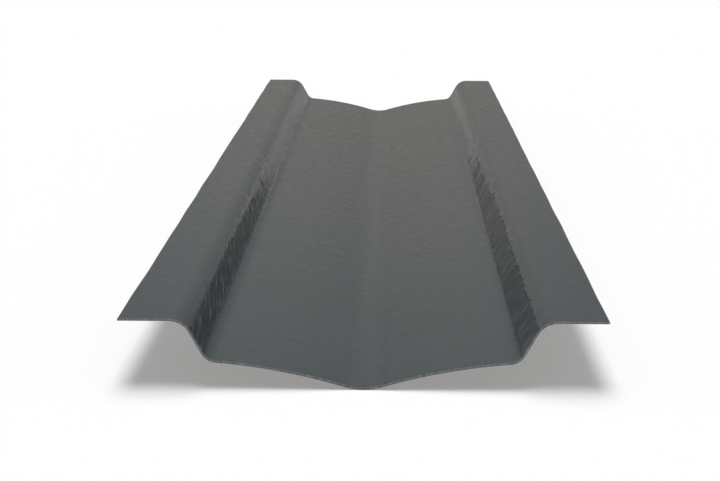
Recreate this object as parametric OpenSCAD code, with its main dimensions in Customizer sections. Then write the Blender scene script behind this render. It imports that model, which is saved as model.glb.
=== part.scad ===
// Valley flashing: one moulded sheet of glass-fibre laminate that carries
// rainwater down the internal corner between two pitched roofs.
// X runs across the valley, Y along it, and Z up from the underside of the central fold.
// Radii and widths are measured at mid thickness. Falls are in degrees below the horizontal.

/* [Sheet] */
// Overall width, from one outer edge to the other
trough_w = 400; // [360:5:600]
// Length of the piece
trough_l = 3000; // [500:50:4000]
// Thickness of the laminate
sheet_t = 1.8; // [1.2:0.1:3]

/* [Flanges] */
// Width of each flat flange, from its outer edge to the start of the bend
flange_w = 42; // [25:1:60]

/* [Upstands] */
// Height from the foot of the upstand up to the flange
upstand_h = 34; // [30:1:60]
// Steepness of the upstand's straight face
upstand_angle = 60; // [50:1:75]
// Radius of the bend between the flange and the upstand
shoulder_r = 20; // [6:0.5:22]
// Radius of the bend between the upstand and the water course
foot_r = 13.5; // [5:0.5:18]

/* [Water course] */
// Fall towards the middle of the valley where the course leaves the upstand
foot_fall = 4.5; // [0:0.5:8]
// Fall towards the middle of the valley where the course meets the central fold
fold_fall = 16.5; // [12:0.5:22]
// Radius of the central fold
fold_r = 56; // [20:1:80]

/* [Hidden] */
sheet_colour = [0.30, 0.32, 0.33];

// A bend is drawn in facets no wider than this, and turns no further than this at each
facet_w = 8;
facet_turn = 5;

// The direction square to a run of the sheet that falls by an angle, and the direction along it
function square_to(fall) = [sin(fall), cos(fall)];
function along(fall) = [cos(fall), -sin(fall)];

// Straight face of the upstand: what its two bends leave of the height
straight_l = (upstand_h - shoulder_r * (1 - cos(upstand_angle))
    - foot_r * (cos(foot_fall) - cos(upstand_angle))) / sin(upstand_angle);

// The water course is one shallow arc, which fills the width between the foot and the fold
upstand_w = shoulder_r * sin(upstand_angle) + straight_l * cos(upstand_angle)
    + foot_r * (sin(upstand_angle) - sin(foot_fall));
course_w = trough_w / 2 - flange_w - upstand_w - fold_r * sin(fold_fall);
course_r = course_w / (sin(fold_fall) - sin(foot_fall));

// The number of facets in a bend is odd, so that one of them lies square to its middle
function facets(radius, turn) =
    let (least = ceil(max(turn / facet_turn, turn * PI / 180 * abs(radius) / facet_w)))
    least + 1 - least % 2;

// The sheet rests on the underside of its fold, on that bend's middle facet
under_r = fold_r + sheet_t / 2;
facet_fall = fold_fall / facets(under_r, 2 * fold_fall);
fold_c = [0, under_r * cos(facet_fall)];

// Height of the flanges' mid-plane: the rise of the fold, of the course and of the upstand
course_rise = course_r * (cos(foot_fall) - cos(fold_fall));
flange_z = fold_c.y - fold_r * cos(fold_fall) + course_rise + upstand_h;

// Centres of the left half's other bends, from the outer edge inwards.
// The shoulder and the course curve about a centre below the sheet.
// The foot and the fold curve about one above it.
shoulder_c = [-trough_w / 2 + flange_w, flange_z - shoulder_r];
straight_top = shoulder_c + shoulder_r * square_to(upstand_angle);
straight_foot = straight_top + straight_l * along(upstand_angle);
foot_c = straight_foot + foot_r * square_to(upstand_angle);
course_start = foot_c - foot_r * square_to(foot_fall);
course_c = course_start - course_r * square_to(foot_fall);

// Points along a bend between two falls. A negative radius puts the sheet below the centre.
function bend(centre, radius, fall_1, fall_2) =
    let (steps = facets(radius, abs(fall_2 - fall_1)))
    [for (i = [0:steps]) centre + radius * square_to(fall_1 + (fall_2 - fall_1) * i / steps)];

// One face of the left half, from the outer edge to the fold, at a height off the mid-plane
function left_face(off) = concat(
    [[-trough_w / 2, flange_z + off]],
    bend(shoulder_c, shoulder_r + off, 0, upstand_angle),
    bend(foot_c, off - foot_r, upstand_angle, foot_fall),
    bend(course_c, course_r + off, foot_fall, fold_fall)
);

function reversed(points) = [for (i = [len(points) - 1:-1:0]) points[i]];
function mirrored(points) = reversed([for (p = points) [-p.x, p.y]]);

// A face of the whole section, the right half being the mirror of the left
function face(off) = concat(
    left_face(off),
    bend(fold_c, off - fold_r, fold_fall, -fold_fall),
    mirrored(left_face(off))
);

module section() {
    polygon(concat(face(-sheet_t / 2), reversed(face(sheet_t / 2))));
}

module valley_trough() {
    color(sheet_colour)
        rotate([90, 0, 0])
            linear_extrude(height = trough_l, center = true)
                section();
}

valley_trough();
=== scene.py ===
import math

import bmesh
import bpy
from mathutils import Matrix, Vector, noise


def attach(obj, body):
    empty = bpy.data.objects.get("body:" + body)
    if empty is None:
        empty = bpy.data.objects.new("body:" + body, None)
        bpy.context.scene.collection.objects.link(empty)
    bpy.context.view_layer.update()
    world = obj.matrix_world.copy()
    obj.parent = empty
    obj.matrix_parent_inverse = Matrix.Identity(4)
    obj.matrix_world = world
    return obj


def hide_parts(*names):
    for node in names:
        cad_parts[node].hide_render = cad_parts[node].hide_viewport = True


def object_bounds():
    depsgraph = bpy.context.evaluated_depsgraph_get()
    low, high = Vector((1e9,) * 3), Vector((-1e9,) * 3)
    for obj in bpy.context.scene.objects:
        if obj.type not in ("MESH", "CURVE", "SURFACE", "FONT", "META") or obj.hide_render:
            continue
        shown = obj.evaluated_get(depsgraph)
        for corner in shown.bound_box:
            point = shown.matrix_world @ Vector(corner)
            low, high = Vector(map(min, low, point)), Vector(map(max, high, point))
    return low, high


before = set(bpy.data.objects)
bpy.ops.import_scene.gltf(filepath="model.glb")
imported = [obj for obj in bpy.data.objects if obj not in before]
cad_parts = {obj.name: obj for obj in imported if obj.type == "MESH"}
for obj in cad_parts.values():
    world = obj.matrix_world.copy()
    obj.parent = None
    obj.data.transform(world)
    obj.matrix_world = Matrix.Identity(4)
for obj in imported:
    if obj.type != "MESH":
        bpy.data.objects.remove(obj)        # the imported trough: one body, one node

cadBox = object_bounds()
cadLow, cadHigh = cadBox
print("frame loaded, sheet box", [round(v, 4) for v in cadHigh - cadLow])

# The moulded sheet. Radii are at mid thickness, falls in degrees below level.
sheet = dict(
    thick=0.0018,
    flange=0.042,            # flat outer strip, up to its bend
    upstandHeight=0.034,
    upstandAngle=60,
    shoulderRadius=0.020,
    footRadius=0.0135,
    foldRadius=0.056,
    footFall=4.5,            # water course beside the foot
    foldFall=16.5,           # water course beside the fold
    step=0.0042,             # spacing of the lines along the sheet
    bendStep=0.0026,
    rings=360,               # rows of faces from end to end
    trim=0.0007,             # how far the sawn edges wander
    trimZone=0.06,           # how far in from the ends that is felt
    rim=0.003,               # how far in from the sides a face can belong to the sawn edge
    sag=0.00016,             # slow unevenness of the moulding
    ripple=0.00001,          # short cross ripples
    chevron=1.4,             # metres that a ripple runs back along the sheet for each metre across
    burr=0.00025,            # broken corner along the sawn edges
    crisp=35,                # degrees between faces, from which an edge is shaded sharp
)


def drawFlat(pen, length, step):
    parts = max(1, round(length / step))
    fall = math.radians(pen["fall"])
    for _ in range(parts):
        tip = bmesh.ops.extrude_vert_indiv(pen["bm"], verts=[pen["tip"]])["verts"][0]
        move = Vector((math.cos(fall), 0, -math.sin(fall))) * (length / parts)
        bmesh.ops.translate(pen["bm"], verts=[tip], vec=move)
        pen["tip"] = tip


def drawBend(pen, radius, fall, step):
    turn = math.radians(fall - pen["fall"])
    start = math.radians(pen["fall"])
    square = Vector((math.sin(start), 0, math.cos(start)))
    # a bend that turns down has its centre below the sheet
    centre = pen["tip"].co - square * math.copysign(radius, turn)
    parts = max(2, round(abs(turn) * radius / step))
    spun = bmesh.ops.spin(pen["bm"], geom=[pen["tip"]], cent=centre, axis=(0, 1, 0), angle=turn, steps=parts)
    pen["tip"] = next(g for g in spun["geom_last"] if isinstance(g, bmesh.types.BMVert))
    pen["fall"] = fall


def drawSection(bm, s):
    # upper face of the sheet, from the left outer edge to the right one
    half = s["thick"] / 2
    angle, footFall, foldFall = s["upstandAngle"], s["footFall"], s["foldFall"]
    sin = {k: math.sin(math.radians(k)) for k in (angle, footFall, foldFall)}
    cos = {k: math.cos(math.radians(k)) for k in (angle, footFall, foldFall)}
    drop = s["shoulderRadius"] * (1 - cos[angle]) + s["footRadius"] * (cos[footFall] - cos[angle])
    straight = (s["upstandHeight"] - drop) / sin[angle]
    upstand = (s["shoulderRadius"] * sin[angle] + straight * cos[angle]
               + s["footRadius"] * (sin[angle] - sin[footFall]))
    course = (cadHigh.x - cadLow.x) / 2 - s["flange"] - upstand - s["foldRadius"] * sin[foldFall]
    courseRadius = course / (sin[foldFall] - sin[footFall]) + half
    shoulder, foot, fold = s["shoulderRadius"] + half, s["footRadius"] - half, s["foldRadius"] - half

    start = bm.verts.new((cadLow.x, cadLow.y, cadHigh.z))
    pen = dict(bm=bm, tip=start, fall=0)
    drawFlat(pen, s["flange"], s["step"])
    drawBend(pen, shoulder, angle, s["bendStep"])
    drawFlat(pen, straight, s["bendStep"])
    drawBend(pen, foot, footFall, s["bendStep"])
    drawBend(pen, courseRadius, foldFall, s["step"])
    drawBend(pen, fold, -foldFall, s["step"])
    drawBend(pen, courseRadius, -footFall, s["step"])
    drawBend(pen, foot, -angle, s["bendStep"])
    drawFlat(pen, straight, s["bendStep"])
    drawBend(pen, shoulder, 0, s["bendStep"])
    drawFlat(pen, s["flange"], s["step"])
    return start


def measureAcross(bm, start):
    # distance across the sheet from its fold, kept with each point for the finishes
    layer = bm.verts.layers.float["across"]
    line, here, back = [start], start, None
    while True:
        edge = next((e for e in here.link_edges if e is not back), None)
        if edge is None:
            break
        here, back = edge.other_vert(here), edge
        here[layer] = line[-1][layer] + edge.calc_length()
        line.append(here)
    middle = line[-1][layer] / 2
    for vert in line:
        vert[layer] -= middle
    return middle


def unevenness(x, y, s):
    # the moulding is never quite true: slow waves, and short ripples in a chevron about the fold
    # (x and y are multiplied by waves per metre, and the third number only picks another noise)
    slow = noise.noise(Vector((x * 5, y * 3.1, 0.4))) + 0.5 * noise.noise(Vector((x * 11, y * 8.3, 5.2)))
    short = noise.noise(Vector((x * 70, (y - s["chevron"] * math.hypot(x, 0.01)) * 30, 9.7)))
    return s["sag"] * slow + s["ripple"] * short


def layUpSheet(s):
    bm = bmesh.new()
    bm.verts.layers.float.new("across")
    start = drawSection(bm, s)
    halfAcross = measureAcross(bm, start)
    length = cadHigh.y - cadLow.y
    drawn = bmesh.ops.extrude_edge_only(bm, edges=bm.edges[:])
    far = [g for g in drawn["geom"] if isinstance(g, bmesh.types.BMVert)]
    bmesh.ops.translate(bm, verts=far, vec=(0, length, 0))
    runs = [e for e in bm.edges if abs(e.verts[0].co.y - e.verts[1].co.y) > length / 2]
    bmesh.ops.subdivide_edges(bm, edges=runs, cuts=s["rings"] - 1, use_grid_fill=True)
    bmesh.ops.recalc_face_normals(bm, faces=bm.faces[:])
    if sum(f.normal.z for f in bm.faces) < 0:
        bmesh.ops.reverse_faces(bm, faces=bm.faces[:])
    bm.normal_update()

    # the moulding's own waves, then the wandering of the sawn sides and ends, each in its own way
    across = bm.verts.layers.float["across"]
    lift = {v: v.normal * unevenness(v[across], v.co.y, s) for v in bm.verts}
    flangeStart = halfAcross - s["flange"]
    for vert, move in lift.items():
        x, y = vert[across], vert.co.y
        outer = max(0.0, (abs(x) - flangeStart) / s["flange"])
        end = max(0.0, 1 - (length / 2 - abs(y)) / s["trimZone"])
        side = 0.6 + noise.noise(Vector((math.copysign(3, x), y * 7, 1.7)))
        saw = 0.6 + noise.noise(Vector((x * 16, math.copysign(5, y), 3.3)))
        vert.co += move
        vert.co.x -= math.copysign(s["trim"] * outer * side, x)
        vert.co.y -= math.copysign(s["trim"] * end * end * saw, y)

    bmesh.ops.solidify(bm, geom=bm.faces[:], thickness=s["thick"])
    return bm


def markFaces(bm, s):
    onTop, onRim, underneath = 0, 1, 2        # places in the list of finishes
    for face in bm.faces:
        face.smooth = True
        normal = face.normal
        sawnEnd = abs(normal.y) > 0.7
        sawnSide = abs(normal.x) > 0.9 and abs(face.calc_center_median().x) > cadHigh.x - s["rim"]
        if sawnEnd or sawnSide:
            face.material_index = onRim
        else:
            face.material_index = underneath if normal.z < 0 else onTop
    rim = {f for f in bm.faces if f.material_index == onRim}
    corners = [e for e in bm.edges if len([f for f in e.link_faces if f in rim]) == 1]
    bmesh.ops.bevel(bm, geom=corners, affect="EDGES", offset=s["burr"], segments=1, profile=0.5, material=-1)
    print("rim faces", len(rim), "corners", len(corners))


def fitInside(bm):
    # the finished sheet keeps to the frame's own box, a hair inside it
    low = Vector([min(v.co[i] for v in bm.verts) for i in range(3)])
    high = Vector([max(v.co[i] for v in bm.verts) for i in range(3)])
    room = cadHigh - cadLow
    factor = Vector([min(1, room[i] * 0.99998 / (high[i] - low[i])) for i in range(3)])
    bmesh.ops.scale(bm, verts=bm.verts[:], vec=factor)
    low = Vector([low[i] * factor[i] for i in range(3)])
    high = Vector([high[i] * factor[i] for i in range(3)])
    shift = (cadLow + cadHigh) / 2 - (low + high) / 2
    bmesh.ops.translate(bm, verts=bm.verts[:], vec=shift)
    print("sheet fitted, factors", [round(v, 5) for v in factor])


def makeSheet(s, finishes):
    bm = layUpSheet(s)
    markFaces(bm, s)
    fitInside(bm)
    mesh = bpy.data.meshes.new("trough_sheet")
    bm.to_mesh(mesh)
    bm.free()
    mesh.set_sharp_from_angle(angle=math.radians(s["crisp"]))
    for finish in finishes:
        mesh.materials.append(finish)
    piece = bpy.data.objects.new("trough_sheet", mesh)
    bpy.context.scene.collection.objects.link(piece)
    print("sheet made,", sum(len(p.vertices) - 2 for p in mesh.polygons), "triangles")
    return piece


def put(tree, kind, values=None, **props):
    node = tree.nodes.new("ShaderNode" + kind)
    for name, value in props.items():
        setattr(node, name, value)
    for socket, value in (values or {}).items():
        node.inputs[socket].default_value = value
    return node


def feed(tree, socket, source):
    # a number or a colour is set on the socket, and another node's output is linked to it
    if isinstance(source, (int, float, tuple)):
        socket.default_value = source
    elif source is not None:
        tree.links.new(source, socket)


def newFinish(name):
    finish = bpy.data.materials.new(name)
    finish.use_nodes = True
    return finish, finish.node_tree, finish.node_tree.nodes["Principled BSDF"]


def calc(tree, operation, first, second=None):
    node = put(tree, "Math", operation=operation)
    feed(tree, node.inputs[0], first)
    feed(tree, node.inputs[1], second)
    return node.outputs[0]


def ramp(tree, source, low, high, toLow=0.0, toHigh=1.0, smooth=True):
    node = put(tree, "MapRange", {1: low, 2: high, 3: toLow, 4: toHigh})
    node.interpolation_type = "SMOOTHSTEP" if smooth else "LINEAR"
    feed(tree, node.inputs[0], source)
    return node.outputs[0]


def grain(tree, vector, stretch, turn=0, detail=2, coarse=0.5, offset=(0, 0, 0)):
    # noise that is drawn out: stretch gives its cells per metre across and along, turn is in degrees
    mapping = put(tree, "Mapping", {
        "Location": offset,
        "Rotation": (0, 0, math.radians(turn)),
        "Scale": (1 / stretch[0], 1 / stretch[1], 1),
    }, vector_type="TEXTURE")
    feed(tree, mapping.inputs["Vector"], vector)
    node = put(tree, "TexNoise", {"Scale": 1, "Detail": detail, "Roughness": coarse})
    feed(tree, node.inputs["Vector"], mapping.outputs[0])
    return node.outputs[0]


def blend(tree, amount, first, second):
    # of two colours
    node = put(tree, "Mix", data_type="RGBA")
    for socket, source in ((0, amount), (6, first), (7, second)):
        feed(tree, node.inputs[socket], source)
    return node.outputs[2]


def mix(tree, amount, first, second):
    # of two numbers
    node = put(tree, "Mix")
    for socket, source in ((0, amount), (2, first), (3, second)):
        feed(tree, node.inputs[socket], source)
    return node.outputs[0]


def scaled(tree, colour, amount):
    node = put(tree, "VectorMath", operation="SCALE")
    feed(tree, node.inputs[0], colour)
    feed(tree, node.inputs["Scale"], amount)
    return node.outputs[0]


def relief(tree, height, depth, under=None):
    node = put(tree, "Bump", {"Strength": 1.0, "Distance": depth})
    feed(tree, node.inputs["Height"], height)
    feed(tree, node.inputs["Normal"], under)
    return node.outputs[0]


def laidFlat(tree):
    # place on the sheet as if it were laid flat: across from the fold, and along
    across = put(tree, "Attribute", attribute_name="across").outputs["Fac"]
    split = put(tree, "SeparateXYZ")
    feed(tree, split.inputs[0], put(tree, "TexCoord").outputs["Object"])
    flat = put(tree, "CombineXYZ")
    feed(tree, flat.inputs[0], across)
    feed(tree, flat.inputs[1], split.outputs[1])
    return flat.outputs[0], across, split.outputs[1]


def layOut(tree):
    # sets the nodes out in columns, counted back from the output
    column = {node.name: 0 for node in tree.nodes}
    for _ in tree.nodes:
        for link in tree.links:
            source, target = link.from_node.name, link.to_node.name
            column[source] = max(column[source], column[target] + 1)
    rows = {}
    for node in tree.nodes:
        place = column[node.name]
        rows[place] = rows.get(place, 0) + 1
        node.location = (-240 * place, -280 * rows[place])


# Film face: what the carrier film leaves on the upper side, and a matt, wrinkled strip on each upstand with
# a painted reflection:
# dark near the end, where the upstand mirrors the trough, and paler and warmer further on, where it mirrors
# the bright far side.
# Places along the sheet are metres from its middle, and a span is from one to another of them.
# Other pairs are for the left and the right strip, unless their note says what they are.
film = dict(
    tone=(0.0255, 0.0380, 0.0420, 1),
    warmerFar=(0.0280, 0.0350, 0.0380, 1),   # warmer hue towards the far end, a painted reflection
    warmingAlong=0.12,                         # how much this follows the length, rather than chance
    paintedSideShade=(1.04, 0.86),            # painted shade from side to side, the right one being a little darker
    mottled=(0.94, 1.06),                # least and most
    tightNear=(0.059, 0.065, 0.066, 1),  # painted dark reflection on the strips, near end
    tightFar=(0.103, 0.104, 0.099, 1),   # and towards the middle
    tightSpan=(-1.5, -0.3),              # where the one turns into the other
    tightVaries=(0.87, 1.13),            # painted light and shade with the wrinkles, least and most
    highlightNear=(0.135, 0.148, 0.150, 1),  # painted highlight on the tops of the wrinkles, in the same two places
    highlightFar=(0.200, 0.203, 0.195, 1),
    highlightsShow=(0.95, 0.24),
    paintedPaleNear=(0.0550, 0.0485, 0.0400, 1),    # painted paler, warmer reflection further along the strips
    paintedPaleFar=(0.0800, 0.0655, 0.0485, 1),
    paintedPaleSpan=(-0.3, 0.7),
    rightPaintedDark=(1.45, 1.05),             # painted light: tones of the right strip against the left, middle and edges
    rightEdges=(0.009, 0.013),           # where these are, metres from the strip's middle
    rightPaintedPale=0.71,
    paintedShadeBeside=(0.64, 0.93),                 # painted shade: how dark the film is beside the strips
    paintedShadeFar=1.5,                       # and beside their pale parts, where it turns to painted light
    paintedShadeSpan=(-0.3, 0.7),
    paintedShadeReach=(0.011, 0.025),          # where it fades, metres from the strip's middle
    rough=0.22,
    roughVaries=0.02,
    tightRough=0.45,                     # the dark part is matt
    dullRough=0.26,
    shine=0.335,
    tightShine=0.01,
    dullShine=0.24,
    middle=0.1455,                       # middle of the strips, metres from the fold
    half=0.0104,                         # half of their width
    wider=0.0028,                        # what the right one has more, on each side
    edge=(0.0003, 0.0020),               # how soft their edges are, near and far
    edgeSpan=(-0.3, 0.6),
    teeth=(0.018, 0.014),                # how ragged their edges are
    easing=0.004,                        # how far in from the edges the wrinkles reach full depth
    tightEnd=(-0.42, -0.04),             # where the painted dark part breaks up
    breakUp=0.06,                        # half of the length that this takes
    outerFirst=0.50,                     # how much nearer the outer edges break up
    outerPlace=(0.149, 0.158),           # where they are, metres from the fold
    runOn=2.3,                           # how far single wrinkles run on past there
    foldZone=(0.010, 0.050),             # creases fade from the fold to here
    streak=0.14,                         # how much they show in the tone
    chevron=1.15,                        # how steeply the ripples run back from the fold
    calm=(-1.4, 0.1),                    # the ripples grow from the near end to here
    calmest=0.52,
    dullWrinkles=0.12,                   # what is left of the wrinkles' depth in the dull part
    rippleDepth=0.00055,
    wrinkleDepth=0.00036,
    creaseDepth=0.00025,
    ripples=dict(stretch=(165, 34), coarse=0.6),
    noises=dict(
        slow=dict(stretch=(7, 3.2)),
        mottle=dict(stretch=(95, 23)),
        clouds=dict(stretch=(30, 21)),
        creases=dict(stretch=(190, 0.9), coarse=0.6),
        leftTeeth=dict(stretch=(170, 20), turn=7, detail=3, coarse=0.7),
        rightTeeth=dict(stretch=(30, 56), turn=-36, detail=3, coarse=0.6),
        leftWrinkles=dict(stretch=(360, 12), turn=6, coarse=0.6),
        rightWrinkles=dict(stretch=(20, 36), turn=-36, detail=3, coarse=0.65),
    ),
)


def eachSide(tree, on, left, right):
    return mix(tree, on["side"], left, right)


def placesOnFilm(tree, f):
    # what the tones, the gloss and the relief all go by
    flat, across, along = laidFlat(tree)
    on = {name: grain(tree, flat, **shape) for name, shape in f["noises"].items()}
    on.update(across=across, along=along)
    on["away"] = calc(tree, "ABSOLUTE", across)
    on["side"] = ramp(tree, across, -0.015, 0.015)        # 0 left of the fold, 1 right of it
    on["nearFold"] = ramp(tree, on["away"], *f["foldZone"], 1.0, 0.0)
    return on


def outlineStrips(tree, on, f):
    # jagged strip on each upstand, which carries the painted reflection
    teeth = calc(tree, "SUBTRACT", eachSide(tree, on, on["leftTeeth"], on["rightTeeth"]), 0.5)
    jagged = calc(tree, "MULTIPLY", teeth, eachSide(tree, on, *f["teeth"]))
    on["fromMiddle"] = calc(tree, "ABSOLUTE", calc(tree, "SUBTRACT", on["away"], f["middle"]))
    widened = calc(tree, "SUBTRACT", on["fromMiddle"], calc(tree, "MULTIPLY", on["side"], f["wider"]))
    ragged = calc(tree, "ADD", widened, jagged)
    edge = ramp(tree, on["along"], *f["edgeSpan"], *f["edge"])
    past = calc(tree, "DIVIDE", calc(tree, "SUBTRACT", ragged, f["half"]), edge)
    on["strip"] = ramp(tree, past, -1.0, 1.0, 1.0, 0.0)
    on["wellInside"] = ramp(tree, ragged, f["half"] - f["easing"], f["half"], 1.0, 0.0)


def breakUpStrips(tree, on, f):
    # the painted dark part ends along its wrinkles, and at its outer edge first
    on["wrinkles"] = eachSide(tree, on, on["leftWrinkles"], on["rightWrinkles"])
    on["heights"] = calc(tree, "SUBTRACT", on["wrinkles"], 0.5)
    patches = calc(tree, "SUBTRACT", on["clouds"], 0.5)
    uneven = calc(tree, "ADD", patches, calc(tree, "MULTIPLY", on["heights"], f["runOn"]))
    outer = ramp(tree, on["away"], *f["outerPlace"], 0.0, f["outerFirst"])
    reach = calc(tree, "ADD", on["along"], calc(tree, "ADD", uneven, outer))
    past = calc(tree, "SUBTRACT", reach, eachSide(tree, on, *f["tightEnd"]))
    on["tight"] = ramp(tree, past, -f["breakUp"], f["breakUp"], 1.0, 0.0)


def plainTone(tree, on, f):
    # tone in slow random patches, turning warmer towards the far end as a painted reflection
    warmthPatchesAndAlong = calc(tree, "ADD", on["slow"], calc(tree, "MULTIPLY", on["along"], f["warmingAlong"]))
    tone = blend(tree, ramp(tree, warmthPatchesAndAlong, 0.35, 0.65), f["tone"], f["warmerFar"])
    # painted shade: the right side a little darker than the left
    paintedSideShadeRamp = ramp(tree, on["across"], cadLow.x, cadHigh.x, *f["paintedSideShade"], smooth=False)
    mottled = ramp(tree, on["mottle"], 0.2, 0.8, *f["mottled"], smooth=False)
    streaks = ramp(tree, on["creases"], 0.35, 0.65, -f["streak"], f["streak"])
    shade = calc(tree, "ADD", mottled, calc(tree, "MULTIPLY", on["nearFold"], streaks))
    # painted shade beside the strips, turning to painted light beside their pale parts
    onward = ramp(tree, on["along"], *f["paintedShadeSpan"])
    paintedShadeBeside = mix(tree, onward, eachSide(tree, on, *f["paintedShadeBeside"]), f["paintedShadeFar"])
    paintedShadeBeside = mix(tree, ramp(tree, on["fromMiddle"], *f["paintedShadeReach"]), paintedShadeBeside, 1.0)
    return scaled(tree, scaled(tree, tone, paintedSideShadeRamp), calc(tree, "MULTIPLY", shade, paintedShadeBeside))


# painted reflection on the strips: dark near the end, paler and warmer further on
def stripTone(tree, on, f):
    onward = ramp(tree, on["along"], *f["tightSpan"])
    ground = blend(tree, onward, f["tightNear"], f["tightFar"])
    ground = scaled(tree, ground, ramp(tree, on["wrinkles"], 0.35, 0.65, *f["tightVaries"]))
    # painted highlight on the wrinkle tops
    paintedHighlight = blend(tree, onward, f["highlightNear"], f["highlightFar"])
    litTops = ramp(tree, on["wrinkles"], 0.52, 0.68)
    shown = calc(tree, "MULTIPLY", litTops, eachSide(tree, on, *f["highlightsShow"]))
    right = ramp(tree, on["fromMiddle"], *f["rightEdges"], *f["rightPaintedDark"])
    tight = scaled(tree, blend(tree, shown, ground, paintedHighlight), eachSide(tree, on, 1.0, right))
    paintedPalePart = blend(tree, ramp(tree, on["along"], *f["paintedPaleSpan"]), f["paintedPaleNear"], f["paintedPaleFar"])
    paintedPalePart = scaled(tree, paintedPalePart, eachSide(tree, on, 1.0, f["rightPaintedPale"]))
    return blend(tree, on["tight"], paintedPalePart, tight)


def filmRelief(tree, on, f):
    # ripples that run back from the fold in a chevron, the strips' wrinkles, and creases along the fold
    back = calc(tree, "SUBTRACT", on["along"], calc(tree, "MULTIPLY", on["away"], f["chevron"]))
    swept = put(tree, "CombineXYZ")
    feed(tree, swept.inputs[0], on["across"])
    feed(tree, swept.inputs[1], back)
    ripples = grain(tree, swept.outputs[0], **f["ripples"])
    ripples = calc(tree, "MULTIPLY", ripples, ramp(tree, on["along"], *f["calm"], f["calmest"], 1.0))
    deep = calc(tree, "MULTIPLY", on["wellInside"], mix(tree, on["tight"], f["dullWrinkles"], 1.0))
    wrinkles = calc(tree, "MULTIPLY", on["heights"], deep)
    creases = calc(tree, "MULTIPLY", on["creases"], on["nearFold"])
    normal = relief(tree, ripples, f["rippleDepth"])
    normal = relief(tree, wrinkles, f["wrinkleDepth"], normal)
    return relief(tree, creases, f["creaseDepth"], normal)


def filmFace(f):
    finish, tree, shader = newFinish("film_face")
    on = placesOnFilm(tree, f)
    outlineStrips(tree, on, f)
    breakUpStrips(tree, on, f)
    tone = blend(tree, on["strip"], plainTone(tree, on, f), stripTone(tree, on, f))
    feed(tree, shader.inputs["Base Color"], tone)

    least, most = f["rough"] - f["roughVaries"], f["rough"] + f["roughVaries"]
    plainRough = ramp(tree, on["mottle"], 0.25, 0.75, least, most, smooth=False)
    stripRough = mix(tree, on["tight"], f["dullRough"], f["tightRough"])
    feed(tree, shader.inputs["Roughness"], mix(tree, on["strip"], plainRough, stripRough))
    stripShine = mix(tree, on["tight"], f["dullShine"], f["tightShine"])
    level = shader.inputs["Specular IOR Level"]
    feed(tree, level, f["shine"])        # stays where a linked level is dropped
    feed(tree, level, mix(tree, on["strip"], f["shine"], stripShine))
    feed(tree, shader.inputs["Normal"], filmRelief(tree, on, f))
    layOut(tree)
    return finish


# Sawn edges: bare glass and resin, paler than either face
sawn = dict(
    dark=(0.130, 0.140, 0.146, 1),
    pale=(0.275, 0.290, 0.298, 1),
    rough=0.75,
    tooth=0.0002,
    strands=dict(stretch=(420, 420), detail=3, coarse=0.7),
)


def sawnEdge(f):
    finish, tree, shader = newFinish("sawn_edge")
    strands = grain(tree, put(tree, "TexCoord").outputs["Object"], **f["strands"])
    colour = blend(tree, ramp(tree, strands, 0.32, 0.62), f["dark"], f["pale"])
    feed(tree, shader.inputs["Base Color"], colour)
    feed(tree, shader.inputs["Roughness"], f["rough"])
    feed(tree, shader.inputs["Normal"], relief(tree, strands, f["tooth"]))
    layOut(tree)
    return finish


# Underside: chopped strands show through the resin
mat = dict(
    resin=(0.040, 0.046, 0.048, 1),
    strand=(0.070, 0.076, 0.076, 1),
    rough=(0.44, 0.58),                  # least and most
    strandDepth=0.00012,
    cloudDepth=0.00036,
    strands=dict(stretch=(26, 420), detail=1),
    clouds=dict(stretch=(24, 24), detail=3),
    lays=(8, 41, 76, 112, 151),          # directions of the strands, degrees
)


def fibreSide(f):
    finish, tree, shader = newFinish("fibre_side")
    flat = laidFlat(tree)[0]
    strands = None
    for i, lay in enumerate(f["lays"]):
        threads = grain(tree, flat, turn=lay, offset=(0.37 * i, 0.21 * i, 0), **f["strands"])
        shown = ramp(tree, threads, 0.56, 0.68)
        strands = shown if strands is None else calc(tree, "MAXIMUM", strands, shown)
    clouds = grain(tree, flat, **f["clouds"])
    colour = blend(tree, calc(tree, "MULTIPLY", strands, clouds), f["resin"], f["strand"])
    feed(tree, shader.inputs["Base Color"], colour)
    feed(tree, shader.inputs["Roughness"], ramp(tree, clouds, 0.3, 0.7, *f["rough"]))
    normal = relief(tree, clouds, f["cloudDepth"])
    feed(tree, shader.inputs["Normal"], relief(tree, strands, f["strandDepth"], normal))
    layOut(tree)
    return finish


trough = makeSheet(sheet, [filmFace(film), sawnEdge(sawn), fibreSide(mat)])
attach(trough, "root")
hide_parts("valley_trough")
print("finishes laid on")

# Floor, light and camera
studio = dict(
    floorHalf=140.0,
    floorTone=(0.715, 0.705, 0.702, 1),
    floorGlow=0.30,          # paleness that the camera sees in the floor, its shadow too
    glowTint=(1.0, 0.985, 0.960, 1),
    roomTone=(0.143, 0.161, 0.177, 1),
    patchTone=(0.397, 0.366, 0.314, 1),      # pale patch of the room behind the far end
    patchTowards=(-0.012, 0.999, 0.012),
    patchEdge=(0.985, 0.9995),               # cosines of the angles from its edge to its middle
    lampPower=2.96,          # of all the lamps together
    lampSpread=22,           # degrees, so that their shadow is soft
    lampRow=(-48, -30, -12, 6, 24),          # lean of each lamp along the sheet, degrees
    lampLean=-1.5,           # lean of all of them to the left
)


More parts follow.
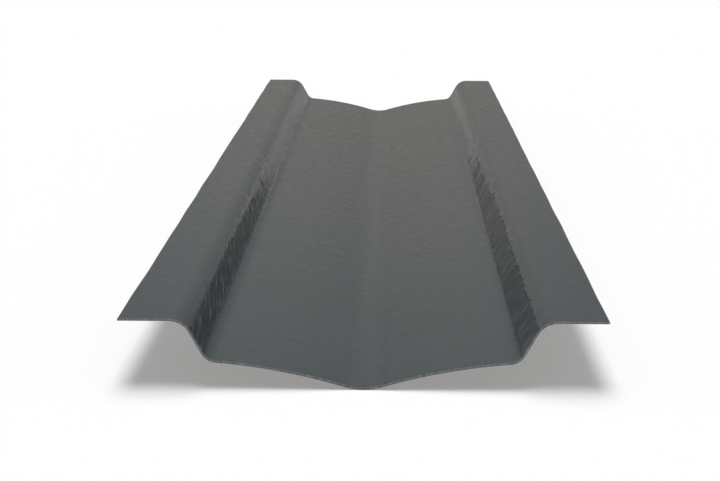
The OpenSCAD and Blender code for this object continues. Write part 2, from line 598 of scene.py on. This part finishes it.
def setFloor(s):
    floorMesh = bpy.data.meshes.new("floor")
    bm = bmesh.new()
    bmesh.ops.create_grid(bm, x_segments=1, y_segments=1, size=s["floorHalf"])
    bmesh.ops.translate(bm, verts=bm.verts[:], vec=(0, 0, cadLow.z))
    bm.to_mesh(floorMesh)
    bm.free()
    floor = bpy.data.objects.new("floor", floorMesh)
    bpy.context.scene.collection.objects.link(floor)

    paper = bpy.data.materials.new("floor_paper")
    paper.use_nodes = True
    tree = paper.node_tree
    tree.nodes.remove(tree.nodes["Principled BSDF"])
    path = put(tree, "LightPath")
    seen = calc(tree, "MAXIMUM", path.outputs["Is Camera Ray"], path.outputs["Is Glossy Ray"])
    seen = calc(tree, "MAXIMUM", seen, path.outputs["Is Transmission Ray"])
    matt = put(tree, "BsdfDiffuse", {"Color": s["floorTone"]})
    glow = put(tree, "Emission", {"Color": s["glowTint"]})
    feed(tree, glow.inputs["Strength"], calc(tree, "MULTIPLY", seen, s["floorGlow"]))
    both = put(tree, "AddShader")
    feed(tree, both.inputs[0], matt.outputs[0])
    feed(tree, both.inputs[1], glow.outputs[0])
    feed(tree, tree.nodes["Material Output"].inputs["Surface"], both.outputs[0])
    layOut(tree)
    floorMesh.materials.append(paper)


def setRoom(s):
    room = bpy.data.worlds.new("room")
    room.use_nodes = True
    tree = room.node_tree
    near = put(tree, "VectorMath", {1: s["patchTowards"]}, operation="DOT_PRODUCT")
    feed(tree, near.inputs[0], put(tree, "TexCoord").outputs["Generated"])
    inPatch = ramp(tree, near.outputs["Value"], *s["patchEdge"])
    feed(tree, tree.nodes["Background"].inputs["Color"], blend(tree, inPatch, s["roomTone"], s["patchTone"]))
    layOut(tree)
    bpy.context.scene.world = room


def setLamps(s):
    # a row of soft lamps overhead, along the sheet
    for i, lean in enumerate(s["lampRow"]):
        lamp = bpy.data.lights.new(f"soft_light_{i}", "SUN")
        lamp.energy = s["lampPower"] / len(s["lampRow"])
        lamp.angle = math.radians(s["lampSpread"])
        holder = bpy.data.objects.new(f"soft_light_{i}", lamp)
        holder.rotation_euler = (math.radians(lean), math.radians(s["lampLean"]), 0)
        bpy.context.scene.collection.objects.link(holder)


# Camera, found by fitting the sheet's outline. Its angles are in degrees.
view = dict(place=(0.0207, -3.8412, 0.4038), lens=146.15, down=6.854, right=-0.583, lean=0.351)


def setCamera(v):
    camera = bpy.data.cameras.new("camera")
    camera.lens = v["lens"]
    camera.sensor_width = 36
    camera.clip_end = 400
    holder = bpy.data.objects.new("camera", camera)
    turn = Matrix.Rotation(math.radians(-v["right"]), 4, "Z")
    tip = Matrix.Rotation(math.radians(90 - v["down"]), 4, "X")
    roll = Matrix.Rotation(math.radians(v["lean"]), 4, "Z")
    holder.matrix_world = Matrix.Translation(v["place"]) @ turn @ tip @ roll
    bpy.context.scene.collection.objects.link(holder)
    bpy.context.scene.camera = holder


setFloor(studio)
setRoom(studio)
setLamps(studio)
setCamera(view)
bpy.context.scene.view_settings.view_transform = "Standard"
print("studio and camera set")
